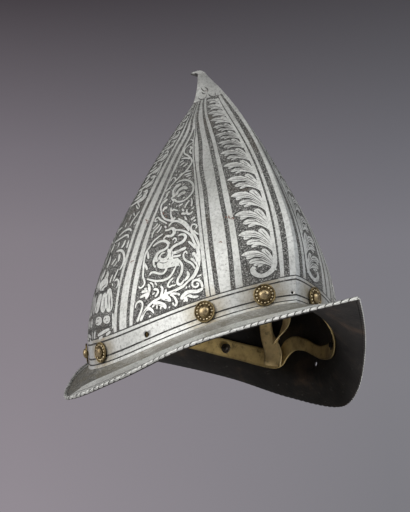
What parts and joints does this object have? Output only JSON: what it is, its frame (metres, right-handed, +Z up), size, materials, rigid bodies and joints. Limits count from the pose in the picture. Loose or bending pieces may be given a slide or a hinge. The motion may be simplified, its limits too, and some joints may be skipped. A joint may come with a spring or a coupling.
{
  "type": "cabasset",
  "caption": "Pointed almond-shaped open steel helmet with a medial ridge, a small rear-pointing stalk, a boat-shaped roped brim, brass rosettes and leather lining straps.",
  "frame": {"origin": "on the surface that the brim stands on, below the middle of the bowl", "axes": "+Z up, the wearer's front towards -Y, the wearer's left towards +X"},
  "size_m": [0.2234, 0.407, 0.2655],
  "materials": {
    "etched_steel": "satin, etched ornament on a dark stippled ground",
    "rosette_brass": "aged, stained between the beads",
    "rivet_brass": "aged, worn bright on the dome",
    "rove_iron": "blackened",
    "lining_leather": "dry buff leather, stained"
  },
  "bodies": {
    "root": {"skull": "etched_steel", "rosette_right_1": "rosette_brass", "rivet_right_1": "rivet_brass", "rove_right_1": "rove_iron", "rosette_right_2": "rosette_brass", "rivet_right_2": "rivet_brass", "rove_right_2": "rove_iron", "rosette_right_4": "rosette_brass", "rivet_right_4": "rivet_brass", "rove_right_4": "rove_iron", "rosette_right_5": "rosette_brass", "rivet_right_5": "rivet_brass", "rove_right_5": "rove_iron", "rosette_right_6": "rosette_brass", "rivet_right_6": "rivet_brass", "rove_right_6": "rove_iron", "rosette_right_7": "rosette_brass", "rivet_right_7": "rivet_brass", "rove_right_7": "rove_iron", "rosette_left_1": "rosette_brass", "rivet_left_1": "rivet_brass", "rove_left_1": "rove_iron", "rosette_left_2": "rosette_brass", "rivet_left_2": "rivet_brass", "rove_left_2": "rove_iron", "rosette_left_3": "rosette_brass", "rivet_left_3": "rivet_brass", "rove_left_3": "rove_iron", "rosette_left_5": "rosette_brass", "rivet_left_5": "rivet_brass", "rove_left_5": "rove_iron", "rosette_left_6": "rosette_brass", "rivet_left_6": "rivet_brass", "rove_left_6": "rove_iron", "rosette_left_7": "rosette_brass", "rivet_left_7": "rivet_brass", "rove_left_7": "rove_iron", "lining_band_right": "lining_leather", "lining_band_left": "lining_leather", "crown_strap": "lining_leather", "tie_strap": "lining_leather"}
  },
  "joints": []
}
